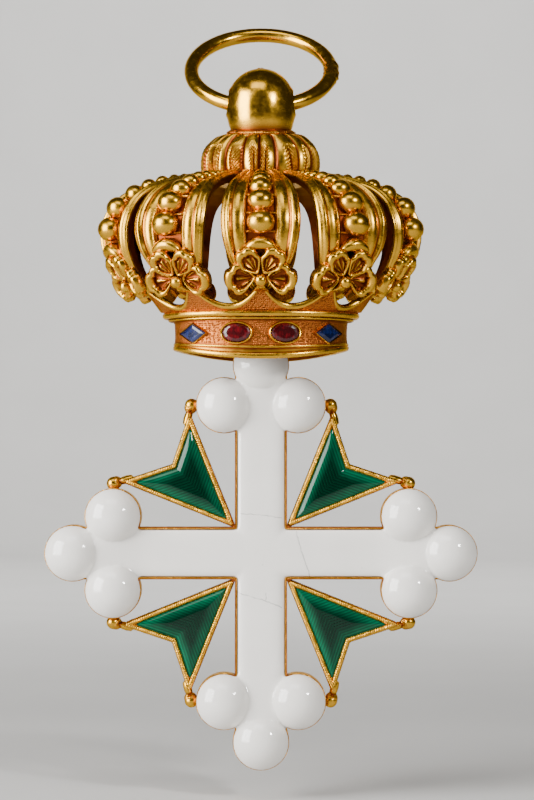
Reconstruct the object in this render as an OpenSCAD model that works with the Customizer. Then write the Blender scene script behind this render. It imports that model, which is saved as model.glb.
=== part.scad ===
// Grand cross badge, hanging upright: a sash ring, a crown and an enamelled cross hinged below it.
// The front faces -Y and the origin is where the sash bears inside the ring.

/* [Suspension ring] */
// Radius of the ring's round wire
ring_wire_r = 1.1; // [0.9:0.05:1.15]
// Radius of the ring's centre line
ring_r = 10.7; // [10.6:0.1:11]
// Distance from the orb's centre to the ring's centre
ring_lift = 9.4; // [9.35:0.05:9.5]
// Lean of the ring towards the back, in degrees
ring_lean = 50; // [0:1:110]

/* [Orb and collar] */
// Radius of the hollow orb
orb_r = 5.1; // [5:0.1:5.4]
// Thickness of the orb's wall
orb_wall = 0.5; // [0.4:0.05:0.6]
// Radius of the two holes that the ring passes through
orb_hole_r = 1.75; // [1.75:0.05:1.9]
// Number of leaves around the collar
collar_leaves = 12; // [8:1:16]
// Depth of the collar's leaf furrows
collar_furrow = 0.55; // [0:0.05:0.7]
// Depth of the collar over its width
collar_oval = 0.8; // [0.75:0.01:0.85]

/* [Crown] */
// Depth of the crown over its width
crown_oval = 0.72; // [0.7:0.01:0.76]
// Thickness of an arch's wall
arch_wall = 0.9; // [0.6:0.05:1]
// Size of the beads along an arch, as a share of the real one
bead_scale = 1; // [0.85:0.05:1]

/* [Circlet] */
// Half width of the band at its narrowest, measured at the sides
band_r = 12.9; // [12.8:0.05:13.1]
// Half width of the band's inside
band_bore_r = 12; // [11.8:0.05:12.1]
// Depth by which the lower edge dips at the front and back
edge_dip = 1.4; // [0:0.1:1.6]
// Height by which the upper edge rises to each arch
swag_rise = 1.9; // [0:0.1:2]
// Radius of the hinge bar across the circlet
bar_r = 0.8; // [0.7:0.05:0.8]

/* [Cross] */
// Distance from the orb's centre down to the cross's centre
cross_drop = 67.6; // [67.4:0.1:68.5]
// Half width of a white arm with its gold rim
arm_half = 3.9; // [3.8:0.05:4]
// Width of the gold rim along a white arm
rim_w = 0.3; // [0.25:0.05:0.4]
// Distance from the cross's centre to an end lobe's centre
end_lobe_at = 28.1; // [28:0.1:28.3]
// Radius of a white enamelled lobe
lobe_r = 4.05; // [4:0.01:4.06]
// Width of the gold rim around a lobe
flange_w = 0.17; // [0.15:0.01:0.18]
// Thickness of the gold frame, which the enamel fills from both faces
frame_t = 3; // [2.6:0.1:3.4]
// Radius of the domes of white enamel on the lobes
dome_r = 4.28; // [4.26:0.01:4.3]
// Radius of the balls on the green arms
tip_ball_r = 0.95; // [0.94:0.01:0.97]
// Width of the gold border of a green arm
border_w = 0.8; // [0.6:0.05:0.9]

/* [Hidden] */
// Clearance around each enamel and stone
gap = 0.05;
// Distance from where the sash bears in the ring down to the orb's centre
bearing = ring_lift + ring_r - ring_wire_r;
orb_y = -bearing * sin(ring_lean);
orb_z = -bearing * cos(ring_lean);
// Radius and height of the flat foot under the orb
orb_foot = [3.6, 0.9];
// Radius and height of the edges of the skirt that the orb swells into below its holes
orb_skirt = [[5, -4.7], [5.3, -2.5], [4.72, -1.8]];

// Half width and height down the collar, and its depth over its width there
collar_rows = [
    [3.9, -5.2, 1], [5.2, -4.85, 1], [6.5, -5.3, collar_oval], [7.9, -6.5, collar_oval],
    [8.65, -8, collar_oval], [8.7, -9.3, collar_oval], [8.2, -10.2, collar_oval], [7.4, -10.5, crown_oval],
    [7.3, -12.4, crown_oval]
];
// The first and last of those rows that the furrows cut
leaf_rows = [2, 6];
// Radius, height and half width along an arch, from under the collar down to the circlet
arch_path = [
    [7.6, -11.3, 2], [9.5, -11.5, 2.4], [11.4, -11.9, 2.8], [13.4, -12.3, 3.3], [15.8, -13, 3.9],
    [18.6, -14.1, 4.7], [20.9, -16, 5.4], [22.3, -19, 5.75], [22.2, -22.2, 5.4], [21, -25, 4.5],
    [19.4, -26.9, 3.4], [17.6, -28.6, 2.2]
];
// Share of the half width and height above the ground, across one half of an arch
arch_section = [[1, 0], [0.94, 0.6], [0.84, 0.45], [0.62, 0.8], [0.4, 0.45], [0.3, 0]];
// The half width at which that section stands at full height, and the share left at no width
arch_widest = 5.75;
arch_least_relief = 0.4;
// Half width of an arch's back as a share of its front's
arch_back = 0.95;
// Radius and height of each bead's centre, and its radius
arch_beads = [
    [9.4, -11, 0.8], [11.1, -11.3, 0.95], [13.2, -11.5, 1.1], [16, -12.1, 1.35], [19.5, -13.4, 1.6],
    [22.4, -16.3, 1.65], [23.7, -19.6, 1.7], [23.1, -22.8, 1.4]
];
// Side offset, radius and height of each boss of the fleuron at an arch's foot, and its radius
fleuron_bosses = [
    [1.8, 21.3, -25.2, 1.4], [-1.8, 21.3, -25.2, 1.4], [3.2, 19.7, -26.9, 1.65], [-3.2, 19.7, -26.9, 1.65],
    [0, 19.5, -27.3, 1.1]
];
// Angle of each arch from the front
arch_angles = [for (i = [0:9]) 36 * i];
// Width of the arches near the sides, where the oval crowds them, as a share of the others' width
side_arch_share = 0.855;
// Number of sides of a small and of a large boss, and how much its facets are drawn out to keep its size
boss_sides = [6, 8];
boss_swell = 1.06;

// Number of sections around the circlet
circlet_steps = 60;
// Radius and height down the outside of the circlet, below its upper edge
circlet_face = [
    [14.4, -31.6], [14.7, -31.9], [14.5, -32.3], [13.6, -32.5], [band_r + 0.15, -33.2], [band_r, -34.5],
    [band_r, -36.2], [band_r + 0.1, -36.85], [band_r + 0.35, -37.1]
];
// Heights of the lower edge at the sides and of the upper edge between two arches
edge_low = -37.4;
edge_high = -30.5;
// Swelling of the wall at the lower edge, out and up
edge_roll = [0.35, 0.1];
// Angle from an arch at which the upper edge has come down to its low part
swag_half = 16;
// Radius and height where the bore opens out under the arches, and the top of the straight bore
bore_flare = [13.5, -31.5];
bore_top = -32.6;
// Thickness of the wall at the upper edge
flare_wall = 0.9;

// Height of the row of stones, their angles from the front, and half their widths and heights
stone_z = -35;
stone_angles_red = [16, -16, 164, 196];
stone_angles_blue = [50, -50, 130, 230];
red_half = [2.15, 1.4];
blue_half = [2.5, 1.4];
// Outward push of the middle of a lozenge stone's sides
side_swell = 1.01;
// Width of the bezels' walls
bezel_w = 0.3;
lozenge_bezel_w = 0.2;
// Height of the bezels above the band, and their depth and the stones' seats below it
bezel_proud = 0.3;
bezel_root = 0.7;
stone_seat = 0.15;
// Height of a stone's girdle and of its table above its flat back
girdle_h = 0.3;
table_h = [0.62, 0.58];
// Size of each table as a share of its stone, at its corners and at its sides' middles
red_table = 0.62;
blue_table = [0.58, 0.7];
// Height of the hinge's axis from the orb's centre
hinge_z = -34.05;

// Centre of an arm's first side lobe, from the cross's centre
side_lobe_at = [22.1, 5.5];
// Thickness of the gold left between the two faces' enamel
core_t = 1.2;
// The hinge's eye on top of the cross: radius, half length and bore
eye_r = 1.35;
eye_half = 1.2;
eye_bore_r = bar_r + 0.07;
// The neck from the top lobe's rim to the eye: where it starts and how high it is
neck_from = 31.1;
neck_h = 1.6;
// A green arm's inner corner, the corner of its notch, and one of its two tips with its ball
green_inner = 3.7;
green_notch = 13.2;
green_tip = [10.8, 20.6];
tip_ball_at = [10.55, 21.7];
// Half thickness of a green arm's floor, and the full thickness of its border
green_floor = 0.45;
green_border_t = 2.2;
// Height of the green enamel at its border and at its notch, from the middle of the frame
green_low = 0.95;
green_high = 1.35;
// Depth of the tools that cut the pockets and level the domes
cut = 10;

// A point at a radius, height and angle from the front, on the crown's oval plan
function on_oval(r, a, z, oval) = [r * sin(a), -oval * r * cos(a), z];
// The direction along the oval, and the level direction straight out of it
function along(a, oval) = let (v = [cos(a), oval * sin(a), 0]) v / norm(v);
function outward(a, oval) = let (v = [oval * sin(a), -cos(a), 0]) v / norm(v);
// The quads of a tube of rings, each split into two triangles
function tube_faces(rings, n, closed) = [
    for (i = [0:rings - (closed ? 1 : 2)], j = [0:n - 1])
        let (a = i * n + j, b = i * n + (j + 1) % n,
             c = (i + 1) % rings * n + (j + 1) % n, d = (i + 1) % rings * n + j)
        each [[a, c, b], [a, d, c]]
];
function joined(rings) = [for (ring = rings) each ring];
// A closed outline moved inwards by d, for corners that run counter-clockwise
function inset(p, d) = [
    for (i = [0:len(p) - 1])
        let (n = len(p), u = p[i] - p[(i + n - 1) % n], v = p[(i + 1) % n] - p[i],
             nu = [-u.y, u.x] / norm(u), nv = [-v.y, v.x] / norm(v))
        p[i] + d * (nu + nv) / (1 + nu * nv)
];

// A solid skinned over rings of points, closed by a flat cap at each end
module skin(rings) {
    n = len(rings[0]);
    last = (len(rings) - 1) * n;
    polyhedron(joined(rings), concat(
        tube_faces(len(rings), n, false),
        [[for (j = [0:n - 1]) j]],
        [[for (j = [n - 1:-1:0]) last + j]]
    ));
}

// A ring-shaped solid skinned over sections that close on themselves
module closed_skin(sections) {
    polyhedron(joined(sections), tube_faces(len(sections), len(sections[0]), true));
}

module at_orb() {
    translate([0, orb_y, orb_z]) children();
}

module at_cross() {
    at_orb() translate([0, 0, -cross_drop]) children();
}

// Turns a flat outline in X and Y up to face the front, with the outline's Y up
module facing_front() {
    rotate([90, 0, 0]) children();
}

module suspension_ring() {
    color("gold")
    at_orb()
    translate([0, ring_lift * sin(ring_lean), ring_lift * cos(ring_lean)])
    rotate([90 - ring_lean, 0, 0])
    rotate_extrude($fn = 96) translate([ring_r, 0]) circle(ring_wire_r, $fn = 32);
}

module orb() {
    color("gold")
    at_orb()
    union() {
        difference() {
            union() {
                sphere(orb_r, $fn = 64);
                for (i = [0:len(orb_skirt) - 2])
                    translate([0, 0, orb_skirt[i][1]])
                    cylinder(h = orb_skirt[i + 1][1] - orb_skirt[i][1], r1 = orb_skirt[i][0],
                             r2 = orb_skirt[i + 1][0], $fn = 64);
            }
            sphere(orb_r - orb_wall, $fn = 64);
            rotate([0, 90, 0]) cylinder(h = 3 * orb_r, r = orb_hole_r, center = true, $fn = 48);
        }
        translate([0, 0, -orb_r]) cylinder(h = orb_foot[1], r = orb_foot[0], $fn = 48);
    }
}

module orb_collar() {
    steps = collar_leaves * 6;
    rings = [
        for (i = [len(collar_rows) - 1:-1:0])
            let (row = collar_rows[i], carved = i >= leaf_rows[0] && i <= leaf_rows[1])
            [
                for (j = [0:steps - 1])
                    let (a = 360 * j / steps,
                         furrow = carved ? collar_furrow * pow(cos(a * collar_leaves / 2), 8) : 0)
                    on_oval(row[0] - furrow, a, row[1], row[2])
            ]
    ];
    color("goldenrod") at_orb() skin(rings);
}

// A raised ball with a corner of its facets towards o
module boss(r, o) {
    large = r > 1.3 ? 1 : 0;
    hull() rotate(atan2(o.y, o.x)) sphere(r * (large ? boss_swell : 1), $fn = boss_sides[large]);
}

// One arch at angle a from the front. Those past the sides are mirror images of those before them.
module arch(a) {
    color("gold") at_orb()
    if (a > 180) mirror([1, 0, 0]) arch_before_back(360 - a);
    else arch_before_back(a);
}

module arch_before_back(a) {
    if (a > 90) mirror([0, 1, 0]) arch_casting(180 - a);
    else arch_casting(a);
}

// An arch's two ribbons, its row of beads and the bosses of its fleuron
module arch_casting(a) {
    t = along(a, crown_oval) * (a == 72 ? side_arch_share : 1);
    o = outward(a, crown_oval);
    last = len(arch_path) - 1;
    section = concat(
        arch_section,
        [for (i = [len(arch_section) - 1:-1:0]) [-arch_section[i][0], arch_section[i][1]]]
    );
    rings = [
        for (i = [0:last])
            let (p = arch_path[i], before = arch_path[max(i - 1, 0)], after = arch_path[min(i + 1, last)],
                 run = [(after[0] - before[0]) * norm([sin(a), crown_oval * cos(a)]), after[1] - before[1]],
                 lift = (-run[1] * o + run[0] * [0, 0, 1]) / norm(run),
                 c = on_oval(p[0], a, p[1], crown_oval),
                 relief = arch_least_relief + (1 - arch_least_relief) * p[2] / arch_widest)
            concat(
                [for (s = section) c + t * s[0] * p[2] + lift * s[1] * relief],
                [for (side = [-1, 1]) c + t * side * p[2] * arch_back - lift * arch_wall]
            )
    ];
    union() {
        skin(rings);
        for (b = arch_beads)
            translate(on_oval(b[0], a, b[1], crown_oval))
                boss(b[2] * bead_scale, o);
        for (b = fleuron_bosses)
            translate(on_oval(b[1], a, b[2], crown_oval) + t * b[0]) boss(b[3], o);
    }
}

// Height of the circlet's upper edge, highest at each arch
function upper_edge(a) =
    let (near = min([for (c = arch_angles) abs((a - c + 540) % 360 - 180)]))
    edge_high + swag_rise * pow(max(0, 1 - near / swag_half), 2);

module circlet() {
    sections = [
        for (j = [0:circlet_steps - 1])
            let (a = 360 * j / circlet_steps, top = upper_edge(a),
                 low = edge_low - edge_dip * pow(cos(a), 2),
                 flare = circlet_face[0][0] + top - circlet_face[0][1],
                 section = concat(
                     [[flare, top]],
                     circlet_face,
                     [
                         [band_r + edge_roll.x, low + edge_roll.y], [band_r + edge_roll.y, low],
                         [band_bore_r, low], [band_bore_r, bore_top], bore_flare, [flare - flare_wall, top]
                     ]
                 ))
            [for (p = section) on_oval(p.x, a, p.y, crown_oval)]
    ];
    color("goldenrod")
    at_orb()
    difference() {
        union() {
            closed_skin(sections);
            for (a = stone_angles_red) at_stone(a) linear_extrude(bezel_proud + bezel_root)
                polygon(oval_outline([red_half.x + bezel_w, red_half.y + bezel_w], 24));
            for (a = stone_angles_blue) at_stone(a) linear_extrude(bezel_proud + bezel_root)
                polygon(inset(lozenge_outline(blue_half), -lozenge_bezel_w));
        }
        for (a = stone_angles_red) at_stone(a) translate([0, 0, bezel_root - stone_seat]) linear_extrude(2)
            polygon(oval_outline([red_half.x + gap, red_half.y + gap], 24));
        for (a = stone_angles_blue) at_stone(a) translate([0, 0, bezel_root - stone_seat]) linear_extrude(2)
            polygon(inset(lozenge_outline(blue_half), -gap));
    }
}

function oval_outline(half, n) = [
    for (i = [0:n - 1]) [half.x * cos(360 * i / n), half.y * sin(360 * i / n)]
];
function lozenge_outline(half) = [[half.x, 0], [0, half.y], [-half.x, 0], [0, -half.y]];

// Puts a flat outline on the band at angle a, facing straight out, at the bezel's root in the wall
module at_stone(a) {
    o = outward(a, crown_oval);
    translate(on_oval(band_r, a, stone_z, crown_oval) - o * bezel_root)
        rotate([90, 0, atan2(o.y, o.x) + 90]) children();
}

module red_stone(a) {
    outline = oval_outline(red_half, 16);
    color("firebrick")
    at_orb() at_stone(a)
    translate([0, 0, bezel_root - stone_seat + gap])
    skin([
        [for (p = outline) [p.x, p.y, 0]],
        [for (p = outline) [p.x, p.y, girdle_h]],
        [for (p = outline) [p.x * red_table, p.y * red_table, table_h[0]]]
    ]);
}

module blue_stone(a) {
    corners = lozenge_outline(blue_half);
    outline = [for (i = [0:3]) each [corners[i], (corners[i] + corners[(i + 1) % 4]) * side_swell / 2]];
    color("navy")
    at_orb() at_stone(a)
    translate([0, 0, bezel_root - stone_seat + gap])
    skin([
        [for (p = outline) [p.x, p.y, 0]],
        [for (p = outline) [p.x, p.y, girdle_h]],
        [for (i = [0:7]) [outline[i].x, outline[i].y, 0] * blue_table[i % 2] + [0, 0, table_h[1]]]
    ]);
}

module hinge_bar() {
    color("goldenrod")
    at_orb() translate([0, 0, hinge_z])
    rotate([0, 90, 0]) cylinder(h = 2 * (band_bore_r - 0.1), r = bar_r, center = true, $fn = 32);
}

// The three lobes at the end of each arm, as the children's places
module at_lobes() {
    for (q = [0:3]) rotate(90 * q) {
        translate([end_lobe_at, 0]) children();
        translate(side_lobe_at) children();
        translate([side_lobe_at.x, -side_lobe_at.y]) children();
    }
}

module arms_plan(half, reach) {
    square([2 * reach, 2 * half], center = true);
    square([2 * half, 2 * reach], center = true);
}

function green_outline() = [
    [green_inner, green_inner], [green_tip.y, green_tip.x], [green_notch, green_notch], green_tip
];

module cross_frame() {
    color("gold")
    at_cross()
    difference() {
        union() {
            facing_front() {
                difference() {
                    linear_extrude(frame_t, center = true) {
                        arms_plan(arm_half, end_lobe_at);
                        at_lobes() circle(lobe_r + flange_w, $fn = 64);
                    }
                    for (face = [-1, 1])
                        translate([0, 0, face * (core_t + cut) / 2]) linear_extrude(cut, center = true) {
                            arms_plan(arm_half - rim_w, end_lobe_at);
                            at_lobes() circle(lobe_r, $fn = 64);
                        }
                }
                for (q = [0:3]) rotate(90 * q) {
                    linear_extrude(2 * green_floor, center = true) polygon(green_outline());
                    linear_extrude(green_border_t, center = true) difference() {
                        polygon(green_outline());
                        polygon(inset(green_outline(), border_w));
                    }
                    translate(tip_ball_at) sphere(tip_ball_r, $fn = 32);
                    translate([tip_ball_at.y, tip_ball_at.x]) sphere(tip_ball_r, $fn = 32);
                }
            }
            translate([0, 0, cross_drop + hinge_z]) rotate([0, 90, 0])
                cylinder(h = 2 * eye_half, r = eye_r, center = true, $fn = 32);
            translate([-eye_half, -core_t / 2, neck_from]) cube([2 * eye_half, core_t, neck_h]);
        }
        translate([0, 0, cross_drop + hinge_z]) rotate([0, 90, 0])
            cylinder(h = 4 * eye_half, r = eye_bore_r, center = true, $fn = 48);
    }
}

// The white enamel of one face, drawn for the front: a slab in the frame's pocket with a dome on each lobe
module white_enamel() {
    facing_front() {
        translate([0, 0, core_t / 2 + gap]) linear_extrude((frame_t - core_t) / 2 - gap) {
            arms_plan(arm_half - rim_w - gap, end_lobe_at);
            at_lobes() circle(lobe_r - gap, $fn = 64);
        }
        intersection() {
            at_lobes() sphere(dome_r, $fn = 64);
            translate([0, 0, (frame_t + cut) / 2]) cube([100, 100, cut], center = true);
        }
    }
}

module white_enamel_front() {
    color("white") at_cross() white_enamel();
}

module white_enamel_back() {
    color("white") at_cross() mirror([0, 1, 0]) white_enamel();
}

// The green enamel of one arm's front, with a ridge from its inner point to its notch
module green_enamel(q) {
    p = inset(green_outline(), border_w + gap);
    heights = [green_low, green_low, green_high, green_low];
    facing_front() rotate(90 * q)
    polyhedron(
        concat(
            [for (c = p) [c.x, c.y, green_floor + gap]],
            [for (i = [0:3]) [p[i].x, p[i].y, heights[i]]]
        ),
        [
            [0, 1, 2], [0, 2, 3], [4, 6, 5], [4, 7, 6],
            [0, 4, 5, 1], [1, 5, 6, 2], [2, 6, 7, 3], [3, 7, 4, 0]
        ]
    );
}

module green_enamel_front(q) {
    color("green") at_cross() green_enamel(q);
}

module green_enamel_back(q) {
    color("green") at_cross() mirror([0, 1, 0]) green_enamel(q);
}

suspension_ring();
orb();
orb_collar();
for (i = [1:10]) arch(arch_angles[i - 1]);
circlet();
hinge_bar();
for (i = [1:4]) red_stone(stone_angles_red[i - 1]);
for (i = [1:4]) blue_stone(stone_angles_blue[i - 1]);
cross_frame();
white_enamel_front();
white_enamel_back();
for (i = [1:4]) green_enamel_front(i - 1);
for (i = [1:4]) green_enamel_back(i - 1);
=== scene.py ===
from math import atan2, cos, pi, radians, sin

import bpy
import numpy as np
from bpy.props import FloatProperty, FloatVectorProperty, IntProperty, PointerProperty
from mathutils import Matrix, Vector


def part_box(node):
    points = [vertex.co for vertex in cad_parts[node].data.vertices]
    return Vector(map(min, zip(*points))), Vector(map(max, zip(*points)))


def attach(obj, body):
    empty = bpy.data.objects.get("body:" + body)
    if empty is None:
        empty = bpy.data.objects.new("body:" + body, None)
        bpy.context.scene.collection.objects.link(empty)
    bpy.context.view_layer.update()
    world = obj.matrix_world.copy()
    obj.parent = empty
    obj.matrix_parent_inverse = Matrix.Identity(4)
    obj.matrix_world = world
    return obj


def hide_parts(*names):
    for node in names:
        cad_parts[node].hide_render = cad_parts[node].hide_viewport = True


bl_info = {
    "name": "Grand cross badge",
    "version": (1, 0, 0),
    "blender": (4, 5, 0),
    "location": "View3D > Sidebar > Badge",
    "description": "Dresses the badge's frame with chased gold, enamel and cut stones",
    "category": "Object",
}

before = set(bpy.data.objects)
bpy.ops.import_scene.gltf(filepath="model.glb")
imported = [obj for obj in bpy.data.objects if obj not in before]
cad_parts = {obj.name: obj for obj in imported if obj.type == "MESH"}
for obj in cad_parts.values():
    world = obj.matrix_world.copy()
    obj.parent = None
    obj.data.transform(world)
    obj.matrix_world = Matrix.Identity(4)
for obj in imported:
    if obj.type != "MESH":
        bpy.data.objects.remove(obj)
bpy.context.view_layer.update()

MM = 0.001
TAU = 2 * pi

# Places that the frame gives, in metres: the orb's radius and centre and the cross's centre
orb_low, orb_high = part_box("orb")
ORB_R = (orb_high[2] - orb_low[2]) / 2
ORB = np.array([0, (orb_low[1] + orb_high[1]) / 2, orb_high[2] - ORB_R])
frame_low, frame_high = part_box("cross_frame")
CROSS = np.array([0, ORB[1], frame_low[2] + (frame_high[0] - frame_low[0]) / 2])
# Height of the cross frame's faces over its middle plane, in millimetres
FACE = (frame_high[1] - frame_low[1]) / 2 / MM
ring_low, ring_high = (np.array(corner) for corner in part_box("suspension_ring"))

UP = np.array([0, 0, 1])
# The crown's oval plan and its ten arches' angles from the front
CROWN_OVAL = 0.72
ARCH_ANGLES = tuple(range(0, 360, 36))
# Width of the arches near the sides, where the oval crowds them, as a share of the others' width
SIDE_ARCH_SHARE = 0.855
# Radius, height and half width along an arch, in millimetres from the orb's centre
ARCH_PATH = (
    (7.6, -11.3, 2), (9.5, -11.5, 2.4), (11.4, -11.9, 2.8), (13.4, -12.3, 3.3), (15.8, -13, 3.9),
    (18.6, -14.1, 4.7), (20.9, -16, 5.4), (22.3, -19, 5.75), (22.2, -22.2, 5.4), (21, -25, 4.4),
    (19.4, -26.9, 3), (17.6, -28.6, 1.4),
)
ARCH_WIDEST = 5.75
# Half width of the channel that the beads lie in, as a share of an arch's half width
CHANNEL = 0.33
# Radius and height of each bead's centre, and its radius, with the flattened last one
ARCH_BEADS = (
    (9.6, -11.3, 0.53), (10.7, -11.5, 0.63), (12, -11.72, 0.75), (13.55, -12, 0.88), (15.4, -12.4, 1.03),
    (17.45, -13.1, 1.2), (19.65, -14.3, 1.45), (22.25, -16.4, 1.68), (23.45, -19.55, 1.8),
)
LAST_BEAD = (23, -22.55, 1.5)
# Width of a bead over its height
BEAD_WIDTH = 1.13
# Half width, height and depth over width down the collar, and its dip at the front and back
COLLAR_ROWS = (
    (4.2, -5.1, 1), (5.15, -4.85, 0.97), (6.5, -5.25, 0.85), (7.8, -6.4, 0.8), (8.45, -7.6, 0.8), (8.7, -8.9, 0.8),
    (8.6, -10, 0.8), (8.1, -10.8, 0.8), (7.3, -11.2, 0.76), (7.1, -11.7, CROWN_OVAL), (7.1, -12.3, CROWN_OVAL),
)
COLLAR_DIP = 0.5
# Height and radius of the orb where it swells round its holes and below them, and of the solder rim under it
SKIRT_Z = (-4.6, -4.2, -3.8, -3.4, -3, -2.5, -2, -1.5, -1, -0.5, 0, 0.5, 1, 1.5)
SKIRT_R = (4.45, 4.58, 4.7, 4.83, 4.95, 5.06, 5.13, 5.17, 5.18, 5.17, 5.14, 5.09, 5.005, 4.874)
SOLDER_Z = (-4.1, -4.16, -4.32, -4.46, -4.62, -4.8, -4.9, -4.9, -4.1)
SOLDER_R = (4.3, 4.6, 4.85, 5.1, 5.2, 5.16, 4.95, 4.3, 4.3)
# Place of a fleuron's bead on the oval plan, and its petals: place across, up and out of the bead, width,
# length and depth, heading in degrees, angle of the outer ribs, and angle and width of each notch in the rim
FLEURON_AT = (19.6, -27.2)
PETALS = (
    ((1.5, 2.6, 0.35), (4.4, 5.2, 0.9), 33, 0.3, ((0, 0.25), (1.3, 0.25), (-1.3, 0.25))),
    ((2.75, 0.1, -0.1), (5.6, 5.2, 1.15), 95, 0.4, ((0.8, 0.2), (-0.8, 0.2))),
)
# The circlet's radii, its lower edge, the low and high parts of its swags and the foot that they stand on
BAND_R = 12.9
BAND_BORE_R = 12
EDGE_LOW = -37.4
EDGE_DIP = 1.4
SWAG_LOW = -31.2
SWAG_HIGH = -28.1
SWAG_FOOT = (14.35, -31.75)
# Height of the row of stones, their angles from the front and their half sizes
STONE_Z = -35
RED_ANGLES = (16, -16, 164, 196)
BLUE_ANGLES = (50, -50, 130, 230)
RED_HALF = (2.15, 1.4)
BLUE_HALF = (2.5, 1.4)
# The cross's two faces, and the way that each one looks
SIDES = (("front", 1), ("back", -1))
# The cross's plan, from its centre: half width of a white arm and its three lobes, with the radius and
# the spread of the enamel's balls and the height that the enamel starts at
ARM_HALF = 3.9
LOBES = ((28.1, 0), (22.1, 5.5), (22.1, -5.5))
DOME_R = 4.28
DOME_SPREAD = 1.055
ENAMEL_LOW = 0.66
# A green arm's inner point, tip, notch and other tip, and the balls beyond the tips
DART = ((3.7, 3.7), (21.1, 10.7), (13.3, 13.3), (10.7, 21.1))
TIP_BALLS = ((22.1, 10.4), (10.4, 22.1))
TIP_BALL_R = 1.03
# Distance between the lines cut under the green enamel
LINE_PITCH = 0.42
# Hair cracks in the front's white enamel: points across and up from the cross's centre, and half width
CRACKS = (
    (((-3.1, 5.95), (-0.8, 5.8), (1.5, 5.55), (3.1, 5.2)), 0.09),
    (((5.3, 3.2), (5.8, 1.15), (6.5, -0.95), (7.1, -2.75), (7.3, -3.6)), 0.13),
    (((-3.3, -5.9), (-0.8, -6.6), (0.55, -7.0), (3.1, -8.05)), 0.12),
    (((0.75, -5.9), (0.75, -6.95)), 0.08),
    (((0.2, -1.7), (0.26, -1.72)), 0.12),
)
# Name and roughness of the gold of each slot, and whether it is chased
GOLDS = {
    "gold_polished": ("polished gold", 0.17, True),
    "gold_chased": ("chased gold", 0.22, True),
    "gold_frame": ("frame gold", 0.22, True),
    "gold_plain": ("satin gold", 0.32, False),
}


def deselect():
    """Leaves nothing selected, as an operator acts on all that is."""
    bpy.ops.object.select_all(action="DESELECT")


def take(obj):
    """Makes obj the only selected object, and the active one."""
    deselect()
    obj.select_set(True)
    bpy.context.view_layer.objects.active = obj


def named(name):
    """Names the object that an operator has just added."""
    obj = bpy.context.active_object
    obj.name = name
    obj.data.name = name
    return obj


def coordinates(obj):
    """A mesh's points as an array, in metres."""
    points = np.empty(len(obj.data.vertices) * 3)
    obj.data.vertices.foreach_get("co", points)
    return points.reshape(-1, 3)


def reshape(obj, points):
    """Moves a mesh's points to the places given."""
    obj.data.vertices.foreach_set("co", np.asarray(points, float).reshape(-1))
    obj.data.update()


def edit(obj, *steps):
    """Runs operators on all of a mesh in edit mode."""
    take(obj)
    bpy.ops.object.mode_set(mode="EDIT")
    bpy.ops.mesh.select_all(action="SELECT")
    for step in steps:
        step()
    bpy.ops.object.mode_set(mode="OBJECT")


def weld():
    bpy.ops.mesh.remove_doubles(threshold=0.001 * MM)


def cap():
    bpy.ops.mesh.fill_holes(sides=0)
    bpy.ops.mesh.select_all(action="SELECT")


def face_out():
    bpy.ops.mesh.normals_make_consistent(inside=False)


def smooth(obj, degrees=40):
    """Shades a mesh smooth across edges flatter than the angle."""
    take(obj)
    bpy.ops.object.shade_smooth_by_angle(angle=radians(degrees))


def new_ball(name, segments, rings, radius=1):
    """Adds a ball, and gives it with its points."""
    deselect()
    bpy.ops.mesh.primitive_uv_sphere_add(segments=segments, ring_count=rings, radius=radius)
    obj = named(name)
    return obj, coordinates(obj)


def modified(obj, kind, **settings):
    """Adds a modifier to a mesh and applies it."""
    take(obj)
    modifier = obj.modifiers.new(kind.title(), kind)
    for key, value in settings.items():
        setattr(modifier, key, value)
    bpy.ops.object.modifier_apply(modifier=modifier.name)


def joined(name, parts):
    """Joins meshes into one piece."""
    deselect()
    for part in parts:
        part.select_set(True)
    bpy.context.view_layer.objects.active = parts[0]
    bpy.ops.object.join()
    return named(name)


def set_mark(obj, mark, values):
    """Keeps one number for each point of a mesh, for its material to read."""
    attribute = obj.data.attributes.get(mark) or obj.data.attributes.new(mark, "FLOAT", "POINT")
    attribute.data.foreach_set("value", np.asarray(values, np.float32).reshape(-1))


def net(name, points, ground=None, *finish):
    """A grid drawn over rows of points, welded where its edges meet, with its faces turned outwards."""
    rows, columns = points.shape[:2]
    deselect()
    bpy.ops.mesh.primitive_grid_add(x_subdivisions=columns - 1, y_subdivisions=rows - 1)
    obj = named(name)
    reshape(obj, points)
    if ground is not None:
        set_mark(obj, "ground", ground)
    edit(obj, weld, *finish, face_out)
    smooth(obj)
    return obj


def mark_recesses(obj, passes, depth):
    """Marks how far each point lies in a hollow, up to depth, for the gilding's dark copper colouring and painted
    shade there.

    A ground below 0 marks a smooth hollow, which takes the same colouring and painted shade.
    """
    points = coordinates(obj)
    ends = np.empty(len(obj.data.edges) * 2, int)
    obj.data.edges.foreach_get("vertices", ends)
    a, b = ends.reshape(-1, 2).T
    shares = np.maximum(np.bincount(ends, minlength=len(points)), 1)[:, None]
    normals = np.empty(len(points) * 3)
    obj.data.vertex_normals.foreach_get("vector", normals)
    relaxed = points
    for _ in range(passes):
        sums = np.stack([
            np.bincount(a, relaxed[b, k], len(points)) + np.bincount(b, relaxed[a, k], len(points))
            for k in range(3)
        ], 1)
        relaxed = (relaxed + sums / shares) / 2
    rise = ((relaxed - points) * normals.reshape(-1, 3)).sum(1)
    ground = np.empty(len(points))
    obj.data.attributes["ground"].data.foreach_get("value", ground)
    set_mark(obj, "recess", np.maximum(np.clip(rise / depth, 0, 1), -ground))
    set_mark(obj, "ground", np.maximum(ground, 0))


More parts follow.
